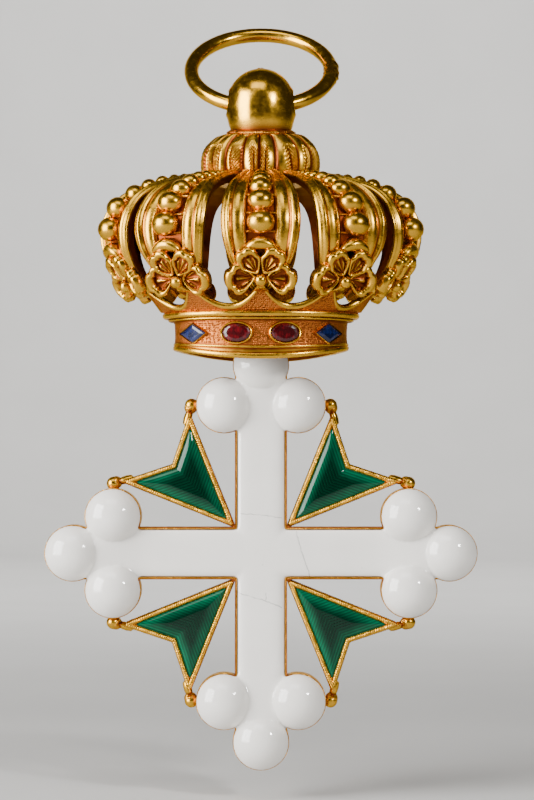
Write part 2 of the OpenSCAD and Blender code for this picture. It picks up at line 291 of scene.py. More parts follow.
def through(stations, t):
    """Points on the smooth curve through a list of stations, at t counted in stations."""
    p = np.asarray(stations, float)
    i = np.clip(np.floor(t).astype(int), 0, len(p) - 2)
    f = (t - i)[:, None]
    before, start, end, after = p[np.maximum(i - 1, 0)], p[i], p[i + 1], p[np.minimum(i + 2, len(p) - 1)]
    return (
        start + (end - before) * f / 2
        + (2 * before - 5 * start + 4 * end - after) * f**2 / 2
        + (3 * start - before - 3 * end + after) * f**3 / 2
    )


def step_between(x, low, high):
    """A smooth step from 0 at low to 1 at high."""
    t = np.clip((x - low) / (high - low), 0, 1)
    return t * t * (3 - 2 * t)


def hump(x, centre, width):
    """A smooth hump of height 1."""
    return np.exp(-(((x - centre) / width) ** 2))


def stacked(*parts):
    """Points made of arrays that hold one coordinate each."""
    return np.stack(np.broadcast_arrays(*parts), -1)


def unit(v):
    """Directions, made one long."""
    return v / np.linalg.norm(v, axis=-1, keepdims=True)


def closed(rows):
    """Rows of points with the first one again at the end."""
    return np.concatenate([rows, rows[:1]])


def on_oval(r, a, z, oval=CROWN_OVAL):
    """A point at a radius, height and angle from the front on an oval plan, in millimetres from the orb."""
    return stacked(r * np.sin(a), -oval * r * np.cos(a), z)


def along(a):
    """The way round the crown at an angle from the front."""
    return unit(stacked(np.cos(a), CROWN_OVAL * np.sin(a), 0))


def outward(a):
    """The way straight out of the crown at an angle from the front."""
    return unit(stacked(CROWN_OVAL * np.sin(a), -np.cos(a), 0))


def placed(points, origin=ORB):
    """Millimetres from the orb, or from another origin, as metres in the frame."""
    return np.asarray(points) * MM + origin


def measured(obj, origin=ORB):
    """A mesh's points in millimetres from the orb, or from another origin."""
    return (coordinates(obj) - origin) / MM


def finish_piece(obj, body, slot, material, *nodes):
    """Gives a piece its material and its body, and hides the nodes that it stands for. The slot is not used."""
    obj.data.materials.clear()
    obj.data.materials.append(material)
    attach(obj, body)
    if nodes:
        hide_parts(*nodes)


def gild(obj, body, slot, *nodes):
    """Finishes a piece in the gold of its slot."""
    finish_piece(obj, body, slot, gold(slot), *nodes)


def colour_setting(name, description, default):
    return FloatVectorProperty(
        name=name, description=description, subtype="COLOR", size=3, default=default, min=0, max=1,
    )


def length_setting(name, description, default, low, high):
    return FloatProperty(name=name, description=description, unit="LENGTH", default=default, min=low, max=high)


def power_setting(name, description, default):
    return FloatProperty(name=name, description=description + ", in watts", default=default, min=0)


class BadgeGold(bpy.types.PropertyGroup):
    """Colours and surface of the gold."""

    metal: colour_setting("Gold", "Colour of the bare gold", (0.7, 0.375, 0.03))
    # Copper tone of the gilding in the chased hollows, made dark enough to be painted shade there too
    flush: colour_setting("Flush", "Copper tone that the gilding keeps in the chased hollows", (0.2, 0.045, 0.01))
    ground: colour_setting("Matted ground", "Rose tone of the stippled grounds", (0.52, 0.165, 0.03))
    stipple: length_setting(
        "Stipple", "Distance between the punch marks of the matted grounds", 0.0003, 0.0001, 0.001,
    )


class BadgeCrown(bpy.types.PropertyGroup):
    """Sizes of the ring, the orb and the crown."""

    wire_radius: length_setting("Ring wire", "Radius of the suspension ring's wire", 0.0011, 0.0008, 0.0012)
    orb_wall: length_setting("Orb wall", "Thickness of the hollow orb's wall", 0.0005, 0.0003, 0.0008)
    orb_hole_radius: length_setting(
        "Orb hole", "Radius of the holes that the ring passes through", 0.00175, 0.0016, 0.0019,
    )
    leaves: IntProperty(name="Collar leaves", description="Leaves around the collar", default=18, min=8, max=24)
    feathering: length_setting(
        "Feathering", "Depth of the engraved lines on the collar's leaves", 0.00012, 0, 0.0002,
    )
    arch_wall: length_setting("Arch wall", "Thickness of an arch's wall", 0.0009, 0.0006, 0.001)


class BadgeCross(bpy.types.PropertyGroup):
    """Sizes and colours of the cross and the stones."""

    white: colour_setting("White enamel", "Colour of the white enamel", (0.84, 0.81, 0.76))
    green: colour_setting("Green enamel", "Colour of the green enamel where it is thin", (0.0, 0.1, 0.045))
    red: colour_setting("Red stones", "Colour of the oval stones", (0.11, 0.002, 0.005))
    blue: colour_setting("Blue stones", "Colour of the lozenge stones", (0.006, 0.014, 0.09))
    twist: length_setting(
        "Border twist", "Distance between the cuts of the green arms' corded borders", 0.00034, 0.0002, 0.001,
    )


class BadgeStage(bpy.types.PropertyGroup):
    """The camera and the light around the badge."""

    lens: FloatProperty(name="Lens", description="Focal length in millimetres", default=102, min=50, max=200)
    distance: length_setting("Camera distance", "Distance from the camera to the cross", 0.34, 0.2, 1)
    backdrop: colour_setting("Backdrop", "Colour of the floor and the backdrop", (0.62, 0.61, 0.59))
    main_power: power_setting("Left light", "Power of the large soft light on the left", 6.3)
    top_power: power_setting("Top light", "Power of the soft light overhead", 0.6)
    small_power: power_setting("Right light", "Power of the small light at the upper right", 1.6)
    backdrop_power: power_setting("Backdrop light", "Power of the light on the backdrop", 7)


class Finish:
    """A material and a short way to wire its nodes."""

    def __init__(self, name, **sockets):
        self.material = bpy.data.materials.new(name)
        self.material.use_nodes = True
        self.nodes = self.material.node_tree.nodes
        self.links = self.material.node_tree.links
        self.shader = self.nodes["Principled BSDF"]
        for label, value in sockets.items():
            self.put(label.replace("_", " "), value)
        self.place = self.node("TexCoord").outputs["Object"]

    def node(self, kind, inputs=None, **settings):
        """Adds a node. Each of its inputs is wired to a socket or set to a value."""
        node = self.nodes.new("ShaderNode" + kind)
        for label, value in settings.items():
            setattr(node, label, value)
        for label, value in (inputs or {}).items():
            self.feed(node.inputs[label], value)
        return node

    def feed(self, socket, value):
        if isinstance(value, bpy.types.NodeSocket):
            self.links.new(value, socket)
        else:
            socket.default_value = value

    def put(self, label, value):
        """Sets or wires one of the shader's own sockets."""
        if not isinstance(value, bpy.types.NodeSocket) and len(np.shape(value)) and len(value) == 3:
            value = (*value, 1)
        self.feed(self.shader.inputs[label], value)

    def sum(self, operation, a, b=0.0, clamp=False):
        return self.node("Math", {0: a, 1: b}, operation=operation, use_clamp=clamp).outputs[0]

    def times(self, a, b, clamp=False):
        return self.sum("MULTIPLY", a, b, clamp)

    def vector(self, operation, a, b, output="Vector"):
        """A sum on two vectors, or on a vector and the number that scales it."""
        second = "Scale" if operation == "SCALE" else 1
        return self.node("VectorMath", {0: a, second: b}, operation=operation).outputs[output]

    def step(self, value, low, high, at_low=0.0, at_high=1.0):
        """A smooth step of a value between two of its levels."""
        return self.node(
            "MapRange", {"Value": value, "From Min": low, "From Max": high, "To Min": at_low, "To Max": at_high},
            interpolation_type="SMOOTHSTEP",
        ).outputs[0]

    def tint(self, share, a, b):
        """One colour turning into another by a share."""
        a, b = (c if isinstance(c, bpy.types.NodeSocket) else (*c, 1) for c in (a, b))
        return self.node("Mix", {0: share, 6: a, 7: b}, data_type="RGBA").outputs[2]

    def mark(self, name):
        return self.node("Attribute", attribute_name=name).outputs["Fac"]

    def noise(self, size, detail=2.0):
        """A cloudy pattern whose patches have about the size given, in millimetres."""
        return self.node("TexNoise", {"Vector": self.place, "Scale": 1 / (size * MM), "Detail": detail}).outputs[0]

    def cells(self, size, scatter=1.0):
        """Distances to spots about as far apart as the size given, in millimetres."""
        inputs = {"Vector": self.place, "Scale": 1 / (size * MM), "Randomness": scatter}
        return self.node("TexVoronoi", inputs).outputs["Distance"]

    def relief(self, height, depth, after=None):
        """A bump of a depth in millimetres, over another bump if there is one."""
        inputs = {"Height": height, "Distance": depth * MM}
        if after is not None:
            inputs["Normal"] = after
        return self.node("Bump", inputs).outputs[0]


def darker(colour, share):
    return tuple(c * share for c in colour)


def gold_finish(name, roughness, chased):
    """Gold with cloudy tarnish and fine handling marks, with hollows in a dark copper tone that is partly painted
    shade, and matted grounds, where chased.
    """
    tones = bpy.context.scene.badge_gold
    f = Finish(name, Metallic=1, Specular_Tint=(1, 0.8, 0.42))
    colour = f.tint(f.step(f.noise(2.5), 0.35, 0.7), tones.metal, darker(tones.metal, 0.86))
    rough = f.step(f.noise(0.9, 4), 0.3, 0.75, roughness, roughness + 0.12)
    bump = f.relief(f.noise(0.28, 3), 0.006)
    if chased:
        hollow, matt = f.mark("recess"), f.mark("ground")
        # Hollows turn to the dark copper tone: the gilding's colouring with painted shade
        colour = f.tint(f.step(hollow, 0.02, 0.75), colour, tones.flush)
        # The punch marks' pits take the dark copper tone with painted shade, their tops the rose ground
        pits = f.step(f.cells(tones.stipple / MM, 0.55), 0.15, 0.6)
        colour = f.tint(matt, colour, f.tint(pits, tones.flush, tones.ground))
        rough = f.sum("ADD", rough, f.times(f.sum("MAXIMUM", matt, hollow), 0.18))
        bump = f.relief(f.times(pits, matt), 0.11, bump)
    f.put("Base Color", colour)
    f.put("Roughness", rough)
    f.put("Normal", bump)
    return f.material


def share_finish(name, make, *values):
    """A material that several pieces share, made once."""
    return bpy.data.materials.get(name) or make(name, *values)


def gold(slot):
    """The gold of a slot."""
    name, *values = GOLDS[slot]
    return share_finish(name, gold_finish, *values)


class BADGE_OT_ring(bpy.types.Operator):
    """Draw the suspension ring with its soldered joint"""

    bl_idname = "badge.ring"
    bl_label = "Suspension ring"

    def execute(self, context):
        wire = context.scene.badge_crown.wire_radius
        half = (ring_high - ring_low) / 2
        centre = (ring_high + ring_low) / 2
        lean = atan2(half[1] - wire, half[2] - wire)
        radius = half[0] - wire
        deselect()
        bpy.ops.mesh.primitive_torus_add(
            major_segments=220, minor_segments=28, major_radius=radius, minor_radius=wire,
            location=centre, rotation=(pi / 2 - lean, 0, 0),
        )
        ring = named("sash_ring")
        bpy.ops.object.transform_apply()
        p = coordinates(ring) - centre
        # Angle round the ring in its own plane, from the viewer's right, and the middle of the wire there
        turn = np.arctan2(p @ np.array([0, sin(lean), cos(lean)]), p[:, 0])
        core = radius * stacked(np.cos(turn), sin(lean) * np.sin(turn), cos(lean) * np.sin(turn))
        spoke = p - core
        degrees = np.degrees(turn)
        joint = hump(degrees, -7, 9) + 0.75 * hump(degrees, 4.5, 3)
        rough = (ripple(p, (5200, 2100, 3900)) + ripple(p, (-2900, 6100, 4700), 1)
                 + 0.6 * ripple(p, (8800, -5200, 9300)))
        outwards = (spoke * p).sum(1) / (np.linalg.norm(p, axis=1) * wire)
        swollen = 1 + joint * (0.07 + 0.06 * rough + 0.1 * outwards)
        reshape(ring, centre + core + spoke * swollen[:, None])
        smooth(ring, 50)
        # The soldered joint takes a little of the dark copper tone
        set_mark(ring, "recess", 0.3 * joint)
        set_mark(ring, "ground", 0 * joint)
        gild(ring, "ring", "gold_polished", "suspension_ring")
        return {"FINISHED"}


def ripple(p, waves, shift=0):
    """A wave through space, given its turns along each axis in radians to a metre."""
    return np.sin(p @ np.array(waves) + shift)


class BADGE_OT_orb(bpy.types.Operator):
    """Draw the hollow orb with its two holes, its finial and its rim"""

    bl_idname = "badge.orb"
    bl_label = "Orb"

    def execute(self, context):
        crown = context.scene.badge_crown
        r = ORB_R / MM
        inner_r = r - crown.orb_wall / MM
        hole = crown.orb_hole_radius / MM
        # Section of the shell, as place along X and radius: over the ball from one hole to the other, and back
        edge = np.arcsin(hole / r)
        end = r * cos(edge)
        sweep = np.linspace(edge + 0.03, pi - edge - 0.03, 70)
        arc = np.stack([np.cos(sweep), np.sin(sweep)], 1)
        section = closed(np.concatenate([
            r * arc, [(0.06 - end, hole + 0.02), (0.2 - end, hole)],
            inner_r * arc[::-4], [(end - 0.2, hole), (end - 0.06, hole + 0.02)],
        ]))
        turn = np.linspace(0, TAU, 129)
        x, out = section[:, :1], section[:, 1:]
        x, y, z = np.broadcast_arrays(x, out * np.sin(turn), out * np.cos(turn))
        # The lips of the holes stand out a little, and the ball is fuller below its middle
        lip = 1 + 0.03 * step_between(np.hypot(y, z), 2.6, 1.75)
        level = np.clip(z, SKIRT_Z[0], SKIRT_Z[-1])
        skirt = np.interp(level, SKIRT_Z, SKIRT_R) / np.sqrt(r**2 - level**2)
        dip = COLLAR_DIP * step_between(z, -1, -4.4) * y**2 / np.maximum(x**2 + y**2, 0.01)
        # The worn nub on top, where the ball was closed
        nub = 0.035 * hump(np.hypot(x + 0.1, y), 0, 0.55) * (z > r - 1) * (1 + 0.5 * np.sin(9 * x + 5 * y))
        points = np.stack([x * lip * skirt, y * skirt, z - dip], -1) * (1 + nub)[..., None]
        ball = net("orb_ball", placed(points), 0 * z)
        wave = 1 + 0.008 * np.sin(9 * turn + 1) + 0.007 * np.sin(17 * turn)
        rim_r, rim_z = np.array([SOLDER_R, SOLDER_Z])[..., None]
        foot = on_oval(rim_r * wave, turn, rim_z - COLLAR_DIP * np.cos(turn) ** 2, 1)
        orb = joined("orb_ball", [ball, net("orb_rim", placed(foot), np.full(foot.shape[:2], 0.6))])
        z = measured(orb)[:, 2]
        # The orb's lower part turns to the dark copper tone, darker towards the bottom where it meets its rim
        set_mark(orb, "recess", 0.7 * step_between(z, -2.9, -4.9) * (np.abs(z) < 5))
        gild(orb, "crown", "gold_polished", "orb")
        return {"FINISHED"}


class BADGE_OT_collar(bpy.types.Operator):
    """Draw the collar of feathered leaves under the orb"""

    bl_idname = "badge.collar"
    bl_label = "Leaf collar"

    def execute(self, context):
        crown = context.scene.badge_crown
        t = np.linspace(0, len(COLLAR_ROWS) - 1, 150)
        r, z, oval = (through(COLLAR_ROWS, t)[:, k, None] for k in range(3))
        a = np.linspace(0, TAU, 649)
        down = t[:, None] / t[-1]
        leaf = (a + 0.05 * np.sin(3 * a + 1) + 0.025 * np.sin(7 * a)) * crown.leaves / TAU
        # Place across a leaf, from -1 to 1, with each second leaf lying over its neighbours
        count = np.floor(leaf)
        across = 2 * (leaf - count) - 1
        over = count % 2
        # The leaves turn a little as they fall, and end in round tips
        lean = 0.4 * np.sin(3.5 * down + 2 * count) * down
        x = np.clip(across + lean * (1 - across**2), -1, 1)
        tip = 0.83 + 0.03 * np.sin(4 * count) - 0.1 * x**2
        carved = step_between(down, 0.06, 0.2) * step_between(down, tip, tip - 0.12)
        body = np.sqrt(np.maximum(1 - np.abs(x) ** 2.3, 0)) * (0.72 + 0.2 * over + 0.12 * np.sin(5 * count))
        fold = hump(x, 0.3 * np.sin(3 * count), 0.1) * step_between(down, 0.3, 0.5)
        curl = 0.3 * hump(down, 0.69, 0.08) * (1 - x**2)
        # Fine cuts on one side of each leaf, slanting down from its fold
        slant = 21 * down + 4 * np.abs(x) * (1 - 2 * over)
        cut_side = step_between(x * (2 * (count % 3 > 0) - 1), -0.45, -0.2)
        feather = np.sin(TAU * slant) * cut_side * step_between(np.abs(x), 0.95, 0.8)
        chased = step_between(down, 0.25, 0.4) * step_between(down, 0.76, 0.68)
        engraved = crown.feathering / MM * feather * chased
        relief = carved * (body - 0.72 - 0.3 * fold + curl) + engraved
        points = on_oval(r + relief, a, z + 0.25 * relief - COLLAR_DIP * np.cos(a) ** 2, oval)
        # The furrows between the leaves, their folds and their feathered sides are marked as hollows below 0: dark
        # copper tone with painted shade
        furrow = step_between(np.abs(x), 0.66, 0.95) + 0.6 * fold + 0.3 * chased * cut_side
        ground = 0.6 * step_between(down, 0.12, 0.08) - 0.8 * carved * np.clip(furrow, 0, 1)
        collar = net("leaf_collar", placed(points), ground, cap)
        mark_recesses(collar, 16, 0.09 * MM)
        gild(collar, "crown", "gold_chased", "orb_collar")
        return {"FINISHED"}


def petal(centre, axes, size, heading, ribs, notches):
    """A cupped petal with a rolled rim and ribs fanning from its root: a ball flattened and drawn over its base."""
    obj, p = new_ball("petal", 60, 30)
    turn = np.arctan2(p[:, 0], p[:, 1])
    tilt = np.arccos(np.clip(p[:, 2], -1, 1))
    front = tilt <= pi / 2 + 0.001
    rho = np.where(front, tilt, pi - tilt) / (pi / 2)
    reach = 0.5 + 0.5 * np.cos(turn)
    outline = 0.8 + 0.2 * reach
    for notch, width in notches:
        outline -= 0.14 * hump(turn, notch, width)
    # Place in the petal, from its root at -1 to its tip at 1
    x, y = rho * np.sin(turn), rho * np.cos(turn)
    fan = np.arctan2(x, y + 1.3)
    # The rim is a thin roll at the root and a thick one at the tip
    rim = 0.13 + 0.16 * reach
    inside = step_between(rho, 1.04 - 2 * rim, 0.8 - 2 * rim) * step_between(y, -1, -0.4)
    rib = sum(hump(fan, at, 0.09) for at in ribs) * inside
    roll = np.sqrt(np.maximum(1 - ((rho - 1 + rim) / rim) ** 2, 0)) * (0.4 + 0.7 * reach**0.7)
    top = 0.1 + 0.3 * rib + 0.9 * roll - 0.3 * step_between(rho, 0.93, 1.0)
    height = np.where(front, top, -0.4)
    up = cos(heading) * axes[1] + sin(heading) * axes[0]
    side = cos(heading) * axes[0] - sin(heading) * axes[1]
    narrow = 0.42 + 0.58 * step_between(y, -1, 0.25)
    points = (
        centre + (y * outline * size[1] / 2)[:, None] * up
        + (x * outline * narrow * size[0] / 2)[:, None] * side + (height * size[2])[:, None] * axes[2]
    )
    reshape(obj, placed(points))
    edit(obj, face_out)
    smooth(obj, 70)
    # The cup inside the rim, less on its ribs, is marked as a hollow: dark copper tone with painted shade
    set_mark(obj, "ground", -0.95 * inside * (1 - 0.75 * np.clip(rib, 0, 1)) * front)
    return obj


def bead(centre, radius, axes, stretch=(1, 1, 1)):
    """A ball drawn at a place, longer or shorter along each of three axes."""
    obj, p = new_ball("bead", 36, 20, radius)
    points = centre + sum(p[:, k, None] * stretch[k] * axes[k] for k in range(3))
    reshape(obj, placed(points))
    edit(obj, face_out)
    smooth(obj, 60)
    set_mark(obj, "ground", np.zeros(len(p)))
    return obj


def ribbon_profile(u):
    """Height across one half of an arch, from its matted channel over the broad band to its outer ridge."""
    return (
        0.62 * step_between(u, CHANNEL, CHANNEL + 0.1) + 0.2 * swell(u, 0.575, 0.15)
        + 0.5 * swell(u, 0.83, 0.115) + 0.12 * swell(u, 0.965, 0.035) - 0.3 * step_between(u, 0.93, 1.0)
    )


def swell(x, centre, half):
    """A round rise between two soft hollows."""
    away = np.clip((x - centre) / half, -1, 1)
    return (0.5 + 0.5 * np.cos(pi * away)) ** 0.7


class BADGE_OT_arches(bpy.types.Operator):
    """Draw the crown's ten arches, with their ribbons, beads and fleurons"""

    bl_idname = "badge.arches"
    bl_label = "Crown arches"

    def execute(self, context):
        wall = context.scene.badge_crown.arch_wall / MM
        for number, degrees in enumerate(ARCH_ANGLES, 1):
            self.cast(number, radians(degrees), wall)
        return {"FINISHED"}

    def cast(self, number, a, wall):
        share = SIDE_ARCH_SHARE if abs(cos(a)) < 0.5 else 1
        t = np.linspace(0, len(ARCH_PATH) - 1, 110)
        path = through(ARCH_PATH, t)
        tangent = np.gradient(path, axis=0)
        side = along(a) * share
        out = outward(a)
        # Straight away from the arch, out of the crown and up
        run = unit(np.stack([tangent[:, 0] * np.hypot(sin(a), CROWN_OVAL * cos(a)), tangent[:, 1]], 1))
        lift = -run[:, 1:] * out + run[:, :1] * UP
        centre = on_oval(path[:, 0], a, path[:, 1])
        half = path[:, 2]
        relief = 0.4 + 0.6 * half / ARCH_WIDEST
        u = np.concatenate([
            [0, 0.12, 0.24], np.linspace(CHANNEL - 0.02, CHANNEL + 0.12, 9), np.linspace(0.48, 0.91, 25),
            np.linspace(0.925, 1, 9),
        ])
        q = np.concatenate([-u[::-1], u[1:]])
        # Place across and depth along the back of the arch
        back = np.array([(0.985, -0.35), (0.93, -1), (0.4, -1), (-0.4, -1), (-0.93, -1), (-0.985, -0.35)])
        front_height = ribbon_profile(np.abs(q)) * relief[:, None]
        height = np.concatenate([front_height, wall * back[:, 1] + 0 * half[:, None], front_height[:, :1]], 1)
        q = closed(np.concatenate([q, back[:, 0]]))
        points = centre[:, None] + side * (q * half[:, None])[..., None] + lift[:, None] * height[..., None]
        # The channel takes the dark copper tone with painted shade, and its walls are matted; the arch's back,
        # inside the crown, is marked as a hollow: painted shade
        place = np.abs(q) - CHANNEL
        ground = np.where(height > -0.1, 0.45 * ((place > 0.02) & (place < 0.11)) - 1.0 * (place < 0.02), -1)
        parts = [net("arch", placed(points), ground, cap), *self.beads(a, side, path, lift), *self.fleuron(a, side)]
        arch = joined(f"crown_arch_{number}", parts)
        mark_recesses(arch, 12, 0.06 * MM)
        gild(arch, "crown", "gold_chased", f"arch_{number}")

    def beads(self, a, side, path, lift):
        """The row of domes, each in its own cell between two low bars."""
        axes = (unit(side), outward(a), UP)
        rows = np.array((*ARCH_BEADS, LAST_BEAD))
        made = [bead(on_oval(r, a, z), radius, axes, (BEAD_WIDTH, 1, 1)) for r, z, radius in ARCH_BEADS]
        turn = np.linspace(0, TAU, 13)[None, :, None]
        for middle in (rows[1:, :2] + rows[:-1, :2]) / 2:
            near = np.argmin(((path[:, :2] - middle) ** 2).sum(1))
            r, z, half = path[near]
            up = lift[near]
            reach = half * (CHANNEL + 0.04) * np.linspace(-1, 1, 7)[:, None, None]
            bar = (on_oval(r, a, z) + reach * side + 0.17 * np.cos(turn) * np.cross(axes[0], up)
                   + (0.2 + 0.26 * np.sin(turn)) * up)
            made.append(net("bar", placed(bar), np.full(bar.shape[:2], 0.45), cap))
        # The last dome is drawn out sideways and curls down over the fleuron
        r, z, radius = LAST_BEAD
        hood = bead(on_oval(r, a, z), radius, axes, (1.6, 0.9, 0.72))
        p = measured(hood)
        p[:, 2] -= 0.15 * ((p - on_oval(r, a, z)) @ axes[0]) ** 2
        reshape(hood, placed(p))
        return [*made, hood]

    def fleuron(self, a, side):
        """Four petals around a bead, facing out along the slope of the arch's foot."""
        out = outward(a)
        slope = unit(np.array([2.1 * np.hypot(sin(a), CROWN_OVAL * cos(a)), 3.8]))
        up = slope[0] * out + slope[1] * UP
        face = slope[1] * out - slope[0] * UP
        heart = on_oval(FLEURON_AT[0], a, FLEURON_AT[1]) + 0.9 * face
        axes = (side, up, face)
        made = []
        for hand in (-1, 1):
            for (across, rise, forward), size, heading, rib, notches in PETALS:
                root = heart + hand * across * side + rise * up + forward * face
                made.append(petal(root, axes, size, hand * radians(heading), (-rib, 0, rib), notches))
        made.append(bead(heart + 0.75 * face, 0.92, axes))
        # The stem under the bead, where two swags meet
        y = np.linspace(0, 1, 16)[:, None, None]
        turn = np.linspace(0, TAU, 25)[:, None]
        depth = 0.1 + 0.5 * np.sin(turn) * (1 - 0.3 * y) - 1.5 * y**2
        points = heart + side * (0.55 + 0.75 * y**2) * np.cos(turn) + face * depth - up * (0.6 + 1.7 * y)
        made.append(net("stem", placed(points), 0 * depth, cap))
        return made


def swag_top(a):
    """Height of the circlet's upper edge: a hanging curve from each arch to the next."""
    u = a / radians(36) % 1
    return SWAG_LOW + (SWAG_HIGH - SWAG_LOW) * np.abs(2 * u - 1) ** 2.3


def half_round(centre, radius, start, stop, count):
    """Points of a section around a moulding's bead, given its centre and two angles in degrees, all unmatted."""
    turn = np.radians(np.linspace(start, stop, count))
    return [(centre[0] + radius * np.cos(k), centre[1] + radius * np.sin(k), 0) for k in turn]


class BADGE_OT_circlet(bpy.types.Operator):
    """Draw the circlet with its swags, mouldings, matted band and bezels"""

    bl_idname = "badge.circlet"
    bl_label = "Circlet"

    def execute(self, context):
        a = np.linspace(0, TAU, 481)
        r, z, matting_and_shade = np.moveaxis([self.section(angle) for angle in a], 2, 0)
        parts = [net("circlet_band", placed(on_oval(r, a[:, None], z)), matting_and_shade)]
        parts += [bezel(degrees, RED_HALF, 0.3, 2) for degrees in RED_ANGLES]
        parts += [bezel(degrees, BLUE_HALF, 0.2, 1.06) for degrees in BLUE_ANGLES]
        circlet = joined("circlet_band", parts)
        mark_recesses(circlet, 10, 0.06 * MM)
        gild(circlet, "crown", "gold_chased", "circlet")
        return {"FINISHED"}

    def section(self, angle):
        """Radius, height and mark round the circlet's wall, from its upper rim down the outside and back; the mark
        is the share of matted ground, and below 0 a hollow in dark copper tone with painted shade.
        """
        rim_z = swag_top(angle)
        # The swags lean out as they rise
        rim_r = SWAG_FOOT[0] + rim_z + 31.6
        under_r, under_z = rim_r - 0.02, rim_z - 0.45
        # The matted band is deeper at the front and back, and so is the hollow under it
        low = EDGE_LOW - EDGE_DIP * cos(angle) ** 2
        foot = -36.45 - 0.6 * cos(angle) ** 2
        return closed([
            # The swag's rim and the matted ground below it
            *half_round((rim_r, rim_z), 0.5, 150, -60, 12),
            *((under_r + (SWAG_FOOT[0] - under_r) * k, under_z + (SWAG_FOOT[1] - under_z) * k, 1)
              for k in np.linspace(0.06, 0.97, 8)),
            # The upper moulding: a bold round and a fine one below
            *half_round((14.28, -32.17), 0.5, 70, -75, 10),
            *half_round((13.72, -32.84), 0.2, 60, -80, 6),
            # The matted band, with its ends by the mouldings marked as hollows below 0: dark copper tone with
            # painted shade
            (BAND_R + 0.2, -33.1, -0.7), (BAND_R + 0.06, -33.45, 0.5), (BAND_R, -34.5, 0.5),
            (BAND_R, foot + 0.9, 0.5), (BAND_R + 0.04, foot + 0.4, 0.5), (BAND_R + 0.1, foot + 0.2, -0.6),
            # The lower moulding: a fine round, a hollow and a bold edge
            *half_round((BAND_R + 0.08, foot), 0.17, 80, -70, 7),
            *((BAND_R - 0.02, foot - 0.17 + (low - foot + 1.05) * k, -0.8 * (1 - k)) for k in (0.15, 0.5, 0.85)),
            *half_round((BAND_R - 0.12, low + 0.43), 0.43, 78, -80, 11),
            # The underside; the bore and the inner side of the swags are marked as hollows: painted shade inside the
            # crown
            (BAND_R - 0.1, low, 0), (BAND_BORE_R + 0.1, low, 0), (BAND_BORE_R, low + 0.15, -1),
            (BAND_BORE_R, -34, -1), (BAND_BORE_R, -32.6, -1), (13.45, -31.5, -1), (rim_r - 0.62, rim_z - 0.35, 0),
        ])


def stone_outline(half, power, count):
    """An outline between a lozenge, at power 1, and an oval, at power 2."""
    turn = np.linspace(0, TAU, count, endpoint=False)
    c, s = np.cos(turn), np.sin(turn)
    reach = (np.abs(c / half[0]) ** power + np.abs(s / half[1]) ** power) ** (-1 / power)
    return np.stack([reach * c, reach * s], 1)


def over_band(degrees, rows):
    """Outlines laid round a stone's place, each with its height above the band."""
    a = radians(degrees)
    centre = on_oval(BAND_R, a, STONE_Z)
    return placed([centre + p[:, :1] * along(a) + p[:, 1:] * UP + rise * outward(a) for p, rise in rows])


def bezel(degrees, half, width, power):
    """A rubbed-over gold setting round a stone, with its inner edge turned in over the girdle."""
    # Growth of the outline and height above the band
    section = closed([
        (0.06, -0.2), (0.04, 0.12), (0.02, 0.26), (0.08, 0.34), (0.5 * width, 0.38), (0.8 * width, 0.33),
        (width, 0.22), (width + 0.06, 0.02), (width + 0.1, -0.25),
    ])
    points = over_band(degrees, (
        (closed(stone_outline((half[0] + grow, half[1] + grow), power, 96)), rise) for grow, rise in section
    ))
    return net("bezel", points, np.zeros(points.shape[:2]))


def stone_finish(name, colour, deep):
    """Cut glass: a deep body colour with painted light, lighter patches broken into streaks where light would come
    back, under a clear gloss.
    """
    f = Finish(name, Roughness=0.2, Coat_Weight=0.45, Coat_Roughness=0.1, Specular_IOR_Level=0.35)
    # Painted light: lighter patches, broken into vertical streaks, stand for light sent back from inside the stone
    painted_glints = f.step(f.noise(0.8, 1), 0.4, 0.65)
    streak = f.node("TexWave", {"Vector": f.place, "Scale": 1 / (1.6 * MM), "Distortion": 1.2}, bands_direction="X")
    share = f.times(painted_glints, f.sum("ADD", 0.4, f.times(streak.outputs["Fac"], 0.6)), True)
    f.put("Base Color", f.tint(share, darker(colour, deep), colour))
    return f.material


class BADGE_OT_stones(bpy.types.Operator):
    """Cut the four oval red stones and the four lozenge blue stones of the circlet"""

    bl_idname = "badge.stones"
    bl_label = "Stones"

    def execute(self, context):
        cross = context.scene.badge_cross
        # Colour, shape, angles, half sizes, power of the outline, sides, share of the table and dark tone
        for tone, shape, angles, half, power, sides, table, deep in (
            ("red", "oval", RED_ANGLES, RED_HALF, 2, 16, 0.66, 0.3),
            ("blue", "lozenge", BLUE_ANGLES, BLUE_HALF, 1.02, 8, 0.6, 0.35),
        ):
            finish = share_finish(f"{tone} stone", stone_finish, getattr(cross, tone), deep)
            outline = closed(stone_outline(half, power, sides))
            for number, degrees in enumerate(angles, 1):
                stone = self.cut(f"{shape}_stone_{number}", degrees, outline, table)
                finish_piece(stone, "crown", f"{tone}_stone", finish, f"{tone}_stone_{number}")
        return {"FINISHED"}

    def cut(self, name, degrees, outline, table):
        # Share of the outline and height above the band: back, girdle, break facets, table
        rows = ((0.05, -0.1), (1, -0.1), (1, 0.2), (0.86, 0.36), (table, 0.46), (0.04, 0.47))
        stone = net(name, over_band(degrees, ((share * outline, rise) for share, rise in rows)), None, cap)
        bpy.ops.object.shade_flat()
        modified(stone, "BEVEL", width=0.03 * MM, segments=1, limit_method="ANGLE", angle_limit=radians(12))
        return stone


def cross_points(plan, forward):
    """Points of the cross's plan, at places towards the front, in millimetres, as metres in the frame."""
    return placed(stacked(plan[..., 0], -forward, plan[..., 1]), CROSS)


def turned(p, quarters=1):
    """Points or directions in the cross's plan turned by quarter turns."""
    p = np.asarray(p)
    for _ in range(quarters):
        p = np.stack([-p[..., 1], p[..., 0]], -1)
    return p


def dart_outline(inset):
    """Corners of a green arm's plan, moved inwards: inner point, lower tip, notch, upper tip."""
    p = np.array(DART)
    # Ways inwards from the sides after and before each corner
    after = turned(unit(np.roll(p, -1, 0) - p))
    before = np.roll(after, 1, 0)
    return p + inset * (before + after) / (1 + (before * after).sum(1, keepdims=True))


